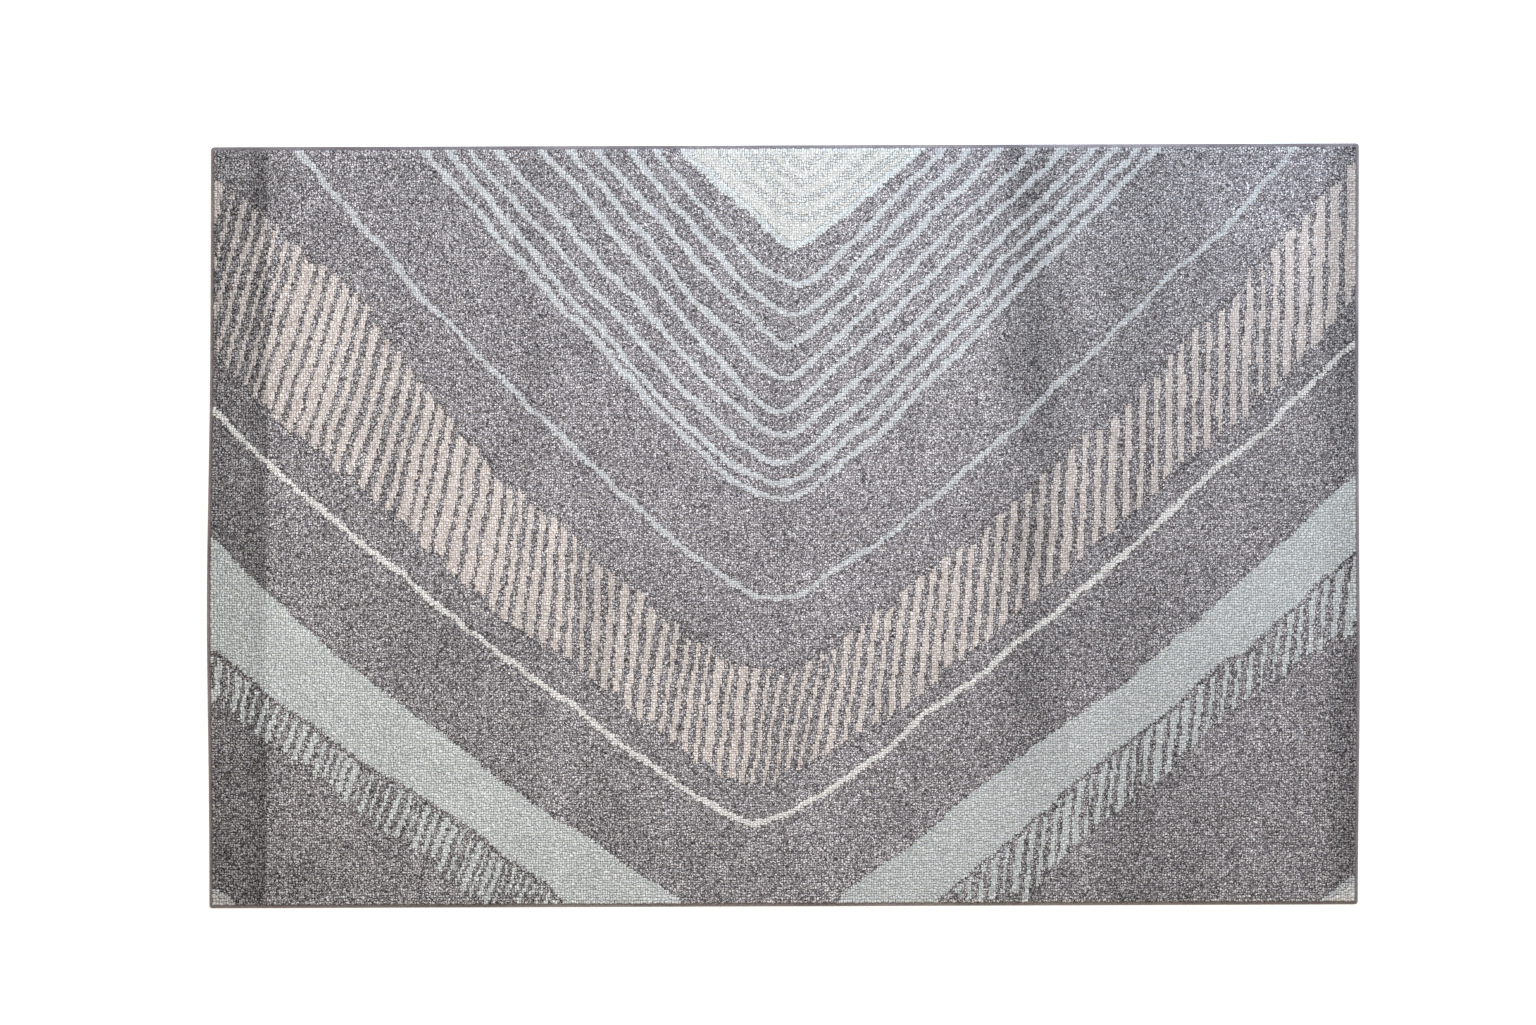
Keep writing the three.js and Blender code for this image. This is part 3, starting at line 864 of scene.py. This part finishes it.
def plain_sheet(name, node, cells):
    """A flat grid as large as the frame's sheet, at the height of its middle."""
    low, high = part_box(node)
    bpy.ops.object.select_all(action="DESELECT")
    bpy.ops.mesh.primitive_grid_add(x_subdivisions=cells[0], y_subdivisions=cells[1], size=1)
    bpy.ops.transform.resize(value=(high.x - low.x, high.y - low.y, 1))
    bpy.ops.transform.translate(value=(low + high) / 2)
    bpy.ops.object.transform_apply()
    sheet = bpy.context.object
    sheet.name = sheet.data.name = name
    return sheet, high.z - low.z


def thicken(sheet, thickness):
    """Gives a sheet its thickness, half above and half below."""
    solid = sheet.modifiers.new("thickness", "SOLIDIFY")
    solid.thickness = thickness
    solid.offset = 0
    bpy.context.view_layer.objects.active = sheet
    bpy.ops.object.modifier_apply(modifier=solid.name)


def woven_cloth(name, thread, shadow, warp, weft):
    """Plain weave: warps along Y, wefts along X, raised as they cross, painted shade between."""
    cloth = new_material(name)
    place = add_node(cloth, "ShaderNodeTexCoord")
    across = add_node(
        cloth,
        "ShaderNodeVectorMath",
        {0: place.outputs["Object"], 1: (1 / warp, 1 / weft, 0)},
        operation="MULTIPLY",
    )
    checks = add_node(
        cloth, "ShaderNodeTexChecker", {"Vector": across.outputs["Vector"], "Scale": 1}
    )
    apart = add_node(cloth, "ShaderNodeSeparateXYZ", {"Vector": across.outputs["Vector"]})
    rounds = []
    for axis in "XY":
        turn = add_node(
            cloth, "ShaderNodeMath", {0: apart.outputs[axis], 1: math.pi}, operation="MULTIPLY"
        )
        wave = add_node(cloth, "ShaderNodeMath", {0: turn.outputs[0]}, operation="SINE")
        rounds.append(add_node(cloth, "ShaderNodeMath", {0: wave.outputs[0]}, operation="ABSOLUTE"))
    height = add_node(
        cloth,
        "ShaderNodeMix",
        {"Factor": checks.outputs["Fac"], "A": rounds[0].outputs[0], "B": rounds[1].outputs[0]},
    )
    slub = add_node(
        cloth, "ShaderNodeTexNoise", {"Vector": place.outputs["Object"], "Scale": 90, "Detail": 3}
    )
    shade_and_grain = add_node(
        cloth,
        "ShaderNodeMath",
        {0: height.outputs["Result"], 1: slub.outputs["Fac"]},
        operation="MULTIPLY",
    )
    # Painted shade: the low places between threads take the shadow colour, patchy along the slubs.
    dye = add_node(cloth, "ShaderNodeValToRGB", {"Fac": shade_and_grain.outputs["Value"]})
    dye.color_ramp.elements[0].color = linear(shadow)
    dye.color_ramp.elements[1].color = linear(thread)
    dye.color_ramp.elements[1].position = 0.6
    bump = add_node(
        cloth,
        "ShaderNodeBump",
        {"Height": height.outputs["Result"], "Distance": THREAD_RISE, "Strength": 0.8},
    )
    surface = add_node(
        cloth,
        "ShaderNodeBsdfPrincipled",
        {
            "Base Color": dye.outputs["Color"],
            "Normal": bump.outputs["Normal"],
            "Roughness": 0.85,
            "Specular IOR Level": 0.2,
        },
    )
    add_node(cloth, "ShaderNodeOutputMaterial", {"Surface": surface.outputs["BSDF"]})
    return cloth


ground, ground_thickness = plain_sheet("ground_cloth", "ground_weave", (120, 80))
co = points_of(ground.data)
co[:, 2] += RIB * np.where(np.arange(len(co)) % 2, 1, -1)
set_points(ground.data, co)
thicken(ground, ground_thickness - 2 * RIB)
ground.data.materials.append(
    woven_cloth("jute_and_cotton_ground", "#cbbb9c", "#7d6f58", WARP, WEFT)
)
print(f"ground cloth {ground_thickness / MM:.1f} mm thick")

# %% [markdown]
# ## Latex back
#
# The back is brushed with latex compound while the rug is stretched. It is thin, so the
# weave shows through as ribs, with soft brush marks and small pits. The hollows between the
# ribs and along the brush marks are darker: painted shade.

# %% Brush on the latex
BRUSH_RISE = 0.1 * MM
BRUSH_LENGTH = 24 * MM
RIB_BUMP = 0.3 * MM
TWO_THREADS = 6.4  # a wave texture's bands are then two threads apart


def brushed_latex(name, film, shade_and_grain, warp, weft):
    """Matt latex compound with the weave's ribs under it, and painted shade in their hollows."""
    latex = new_material(name)
    place = add_node(latex, "ShaderNodeTexCoord")
    ribs = add_node(
        latex,
        "ShaderNodeTexWave",
        {"Vector": place.outputs["Object"], "Scale": 1 / (weft * TWO_THREADS)},
        bands_direction="Y",
    )
    threads = add_node(
        latex,
        "ShaderNodeTexWave",
        {"Vector": place.outputs["Object"], "Scale": 1 / (warp * TWO_THREADS)},
        bands_direction="X",
    )
    crossing = add_node(
        latex,
        "ShaderNodeMath",
        {0: ribs.outputs["Fac"], 1: threads.outputs["Fac"]},
        operation="MULTIPLY",
    )
    brushing = add_node(
        latex, "ShaderNodeMapping", {"Vector": place.outputs["Object"], "Scale": (14, 160, 14)}
    )
    marks = add_node(
        latex, "ShaderNodeTexNoise", {"Vector": brushing.outputs["Vector"], "Scale": 1, "Detail": 4}
    )
    height = add_node(
        latex,
        "ShaderNodeMath",
        {0: crossing.outputs[0], 1: 0.6, 2: marks.outputs["Fac"]},
        operation="MULTIPLY_ADD",
    )
    # Painted shade: the hollows of the ribs and brush marks take the darker colour.
    colour = add_node(latex, "ShaderNodeValToRGB", {"Fac": height.outputs["Value"]})
    colour.color_ramp.elements[0].color = linear(shade_and_grain)
    colour.color_ramp.elements[0].position = 0.25
    colour.color_ramp.elements[1].color = linear(film)
    bump = add_node(
        latex,
        "ShaderNodeBump",
        {"Height": height.outputs["Value"], "Distance": RIB_BUMP, "Strength": 0.7},
    )
    surface = add_node(
        latex,
        "ShaderNodeBsdfPrincipled",
        {
            "Base Color": colour.outputs["Color"],
            "Normal": bump.outputs["Normal"],
            "Roughness": 0.6,
            "IOR": 1.52,
        },
    )
    add_node(latex, "ShaderNodeOutputMaterial", {"Surface": surface.outputs["BSDF"]})
    return latex


coating, coating_thickness = plain_sheet("latex_back", "latex_coating", (120, 80))
co = points_of(coating.data)
co[:, 2] += BRUSH_RISE * hills(co[:, 0], co[:, 1], BRUSH_LENGTH, 71)
set_points(coating.data, co)
thicken(coating, coating_thickness - 2 * BRUSH_RISE)
coating.data.materials.append(
    brushed_latex("brushed_latex_compound", "#ded6c6", "#a99f8c", WARP, WEFT)
)
print(f"latex {coating_thickness / MM:.1f} mm thick")

# %% [markdown]
# ## Overlocked edges
#
# An overlock machine throws loops of yarn round the raw edge, tight against each other,
# so the edge is a rounded cord with a groove inside that holds the cloth. One turn of
# yarn is modelled: the cord's section drawn as a closed outline, then extruded twice,
# with the middle ring swollen. An array modifier repeats the turn along the edge and
# merges the joins. The turns slant, because the loops are laid in a long spiral.

# %% One turn of yarn, repeated along an edge
TURN = 2.0 * MM
SWELL = 0.28 * MM
SLANT = 0.9
MERGE = 0.02 * MM
YARN_BUMP = 0.25 * MM

left_low, left_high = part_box("left_binding")
weave_low, weave_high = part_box("ground_weave")
REACH = left_high.x - left_low.x
TOP = left_high.z
SLOT_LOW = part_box("latex_coating")[1].z
SLOT_HIGH = pile_low.z
SLOT_END = weave_low.x - left_low.x - 0.3 * MM
ROUND = 2.2 * MM
CORNER = 5 * MM


def cord_section():
    """The binding's outline across the edge, as (distance in, height) points."""
    outer = [
        (ROUND * (1 - math.sin(a)), TOP - ROUND * (1 - math.cos(a)))
        for a in [math.radians(d) for d in (0, 30, 60, 90)]
    ]
    return [
        (SLOT_END, SLOT_LOW), (REACH, SLOT_LOW), (REACH, 0), (0.8 * MM, 0), (0, 0.8 * MM),
        *reversed(outer),
        (REACH - 1.5 * MM, TOP), (REACH - 0.3 * MM, TOP - 0.5 * MM),
        (REACH, SLOT_HIGH + 0.8 * MM), (REACH, SLOT_HIGH), (SLOT_END, SLOT_HIGH),
    ]


def overlock(name, length):
    """A straight run of overlocking along +Y, centred, with its outer side at x = 0."""
    section = cord_section()
    bpy.ops.object.select_all(action="DESELECT")
    bpy.ops.mesh.primitive_circle_add(vertices=len(section), radius=MM)
    run = bpy.context.object
    run.name = run.data.name = name
    for vertex, (inward, height) in zip(run.data.vertices, section):
        vertex.co = (inward, 0, height)
    bpy.ops.object.mode_set(mode="EDIT")
    for _ in range(2):
        bpy.ops.mesh.extrude_edges_move(TRANSFORM_OT_translate={"value": (0, TURN / 2, 0)})
    bpy.ops.object.mode_set(mode="OBJECT")
    co = points_of(run.data)
    crest = np.abs(co[:, 1] - TURN / 2) < 0.1 * TURN
    swollen = crest & (co[:, 2] > 0.1 * MM) & ~np.isclose(co[:, 0], SLOT_END)
    swollen &= ~(np.isclose(co[:, 0], REACH) & (co[:, 2] < SLOT_HIGH + 0.1 * MM))
    middle = np.array([REACH / 2, 0, TOP / 2])
    out = (co - middle) * [1, 0, 1]
    out /= np.linalg.norm(out, axis=1)[:, None] + 1e-9
    co[swollen] += SWELL * out[swollen]
    set_points(run.data, co)
    turns = run.modifiers.new("turns", "ARRAY")
    turns.count = round(length / TURN)
    turns.use_relative_offset = False
    turns.use_constant_offset = True
    turns.constant_offset_displace = (0, length / turns.count, 0)
    turns.use_merge_vertices = True
    turns.merge_threshold = MERGE
    bpy.ops.object.modifier_apply(modifier=turns.name)
    co = points_of(run.data)
    co[:, 1] *= length / co[:, 1].max()
    co[:, 1] -= length / 2
    room = np.clip((length / 2 - np.abs(co[:, 1])) / (4 * TURN), 0, 1)
    co[:, 1] += SLANT * TURN * room * (co[:, 0] / REACH - 0.5)
    set_points(run.data, co)
    bpy.ops.object.mode_set(mode="EDIT")
    bpy.ops.mesh.select_all(action="SELECT")
    bpy.ops.mesh.fill_holes(sides=0)
    bpy.ops.mesh.select_all(action="SELECT")
    bpy.ops.mesh.normals_make_consistent(inside=False)
    bpy.ops.object.mode_set(mode="OBJECT")
    bpy.ops.object.shade_smooth()
    return run


def overlock_yarn(name, dark, middle, light):
    """A thick twisted yarn with a slight sheen, darker between its turns."""
    yarn = new_material(name)
    place = add_node(yarn, "ShaderNodeTexCoord")
    fibres = add_node(
        yarn, "ShaderNodeTexNoise", {"Vector": place.outputs["Object"], "Scale": 900, "Detail": 2}
    )
    drift = add_node(
        yarn, "ShaderNodeTexNoise", {"Vector": place.outputs["Object"], "Scale": 9, "Detail": 2}
    )
    shade = add_node(
        yarn,
        "ShaderNodeMath",
        {0: drift.outputs["Fac"], 1: 0.5, 2: -0.25},
        operation="MULTIPLY_ADD",
    )
    mixed = add_node(
        yarn,
        "ShaderNodeMath",
        {0: fibres.outputs["Fac"], 1: shade.outputs["Value"]},
        operation="ADD",
    )
    dye = add_node(yarn, "ShaderNodeValToRGB", {"Fac": mixed.outputs["Value"]})
    dye.color_ramp.elements[0].color = linear(dark)
    dye.color_ramp.elements[0].position = 0.25
    dye.color_ramp.elements[1].color = linear(light)
    dye.color_ramp.elements[1].position = 0.75
    dye.color_ramp.elements.new(0.5).color = linear(middle)
    bump = add_node(
        yarn,
        "ShaderNodeBump",
        {"Height": fibres.outputs["Fac"], "Distance": YARN_BUMP, "Strength": 0.6},
    )
    surface = add_node(
        yarn,
        "ShaderNodeBsdfPrincipled",
        {
            "Base Color": dye.outputs["Color"],
            "Normal": bump.outputs["Normal"],
            "Roughness": 0.7,
            "Specular IOR Level": 0.3,
            "Sheen Weight": 0.2,
        },
    )
    add_node(yarn, "ShaderNodeOutputMaterial", {"Surface": surface.outputs["BSDF"]})
    return yarn


# %% Overlock the four edges
binding_yarn = overlock_yarn("polyester_overlock_yarn", "#4c4549", "#787075", "#9f979c")
bindings = {}
for side, turn in (("left", 0), ("bottom", 90), ("right", 180), ("top", 270)):
    low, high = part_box(side + "_binding")
    run = overlock(side + "_overlock", max(high.x - low.x, high.y - low.y))
    run.rotation_euler.z = math.radians(turn)
    outer = {"left": low.x, "bottom": low.y, "right": -high.x, "top": -high.y}[side]
    run.location = run.rotation_euler.to_matrix() @ Vector((outer, 0, 0))
    bpy.ops.object.transform_apply()
    run.data.materials.append(binding_yarn)
    bindings[side] = run

for side in ("left", "right"):
    co = points_of(bindings[side].data)
    centre = np.array([rug_length / 2 - CORNER, rug_width / 2 - CORNER])
    past = np.abs(co[:, :2]) - centre
    corner = (past > 0).all(axis=1)
    away = np.linalg.norm(past, axis=1)
    pull = np.where(corner & (away > CORNER), CORNER / np.maximum(away, CORNER), 1)
    co[:, :2] = np.where(
        corner[:, None], np.sign(co[:, :2]) * (centre + past * pull[:, None]), co[:, :2]
    )
    set_points(bindings[side].data, co)
print("binding triangles:", sum(len(b.data.polygons) * 2 for b in bindings.values()))

# %% [markdown]
# ## How the rug lies
#
# A rug that has been unrolled is never quite straight. The short edges bow out by a few
# millimetres, and the whole rug is a little skewed, its far edge shifted to the right.
# All its pieces are bent together, so that nothing comes apart.

# %% Bow the short edges and skew the rug
LEFT_BOW, LEFT_BOW_AT = 5 * MM, -120 * MM
RIGHT_BOW, RIGHT_BOW_AT = 3 * MM, -230 * MM
BOW_REACH = 260 * MM
EDGE_POWER = 10
SKEW = 0.0054


def bow(co):
    """Moves points near the short edges outwards and skews the rug."""
    x, y = co[:, 0], co[:, 1]
    near_edge = np.clip(np.abs(x) / (rug_length / 2), 0, 1) ** EDGE_POWER
    left = -LEFT_BOW * np.exp(-(((y - LEFT_BOW_AT) / BOW_REACH) ** 2))
    right = RIGHT_BOW * np.exp(-(((y - RIGHT_BOW_AT) / BOW_REACH) ** 2))
    co[:, 0] += near_edge * np.where(x < 0, left, right) + SKEW * y
    return co


everything = [*pile.values(), *bindings.values(), ground, coating]
for piece in everything:
    set_points(piece.data, bow(points_of(piece.data)))

# %% [markdown]
# ## What each piece stands for
#
# Every piece rides on the rug's one body and stands for its solid in the frame. The
# ground weave is the sheet of cloth, cut to the rug's size, and all else is held by it.

# %% Say what each piece is
for name, piece in pile.items():
    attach(piece, "root")
    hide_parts(node_of[name])
for side, piece in bindings.items():
    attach(piece, "root")
    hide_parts(side + "_binding")
for piece, node in ((ground, "ground_weave"), (coating, "latex_coating")):
    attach(piece, "root")
    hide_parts(node)

# %% [markdown]
# ## Bake maps
#
# Each pile piece gets a map named OFBake, for baking its material to an image. A plan view
# is the right map for pile: every tuft has its own spot. The walls and the underside get a
# narrow strip of their own below it.

# %% Lay each pile piece out flat
STRIP = 0.03


def plan_map(piece):
    """A map of the piece seen from above, with sides and underside in a strip."""
    mesh = piece.data
    flat = points_of(mesh)
    flat = (flat - flat.min(axis=0)) / np.ptp(flat, axis=0)
    at = np.empty(len(mesh.loops), np.int32)
    mesh.loops.foreach_get("vertex_index", at)
    sizes = np.empty(len(mesh.polygons), np.int32)
    mesh.polygons.foreach_get("loop_total", sizes)
    seen = np.empty(len(mesh.polygons) * 3, np.float32)
    mesh.polygons.foreach_get("normal", seen)
    seen = np.repeat(seen.reshape(-1, 3)[:, 2] > 0.05, sizes)
    spot = flat[at]
    below = STRIP * (0.1 + 0.5 * spot[:, 1] + 0.3 * spot[:, 2])
    rise = np.where(seen, STRIP + (1 - STRIP) * spot[:, 1], below)
    layer = mesh.uv_layers.new(name="OFBake")
    layer.uv.foreach_set("vector", np.column_stack([spot[:, 0], rise]).astype(np.float32).ravel())


for piece in pile.values():
    plan_map(piece)
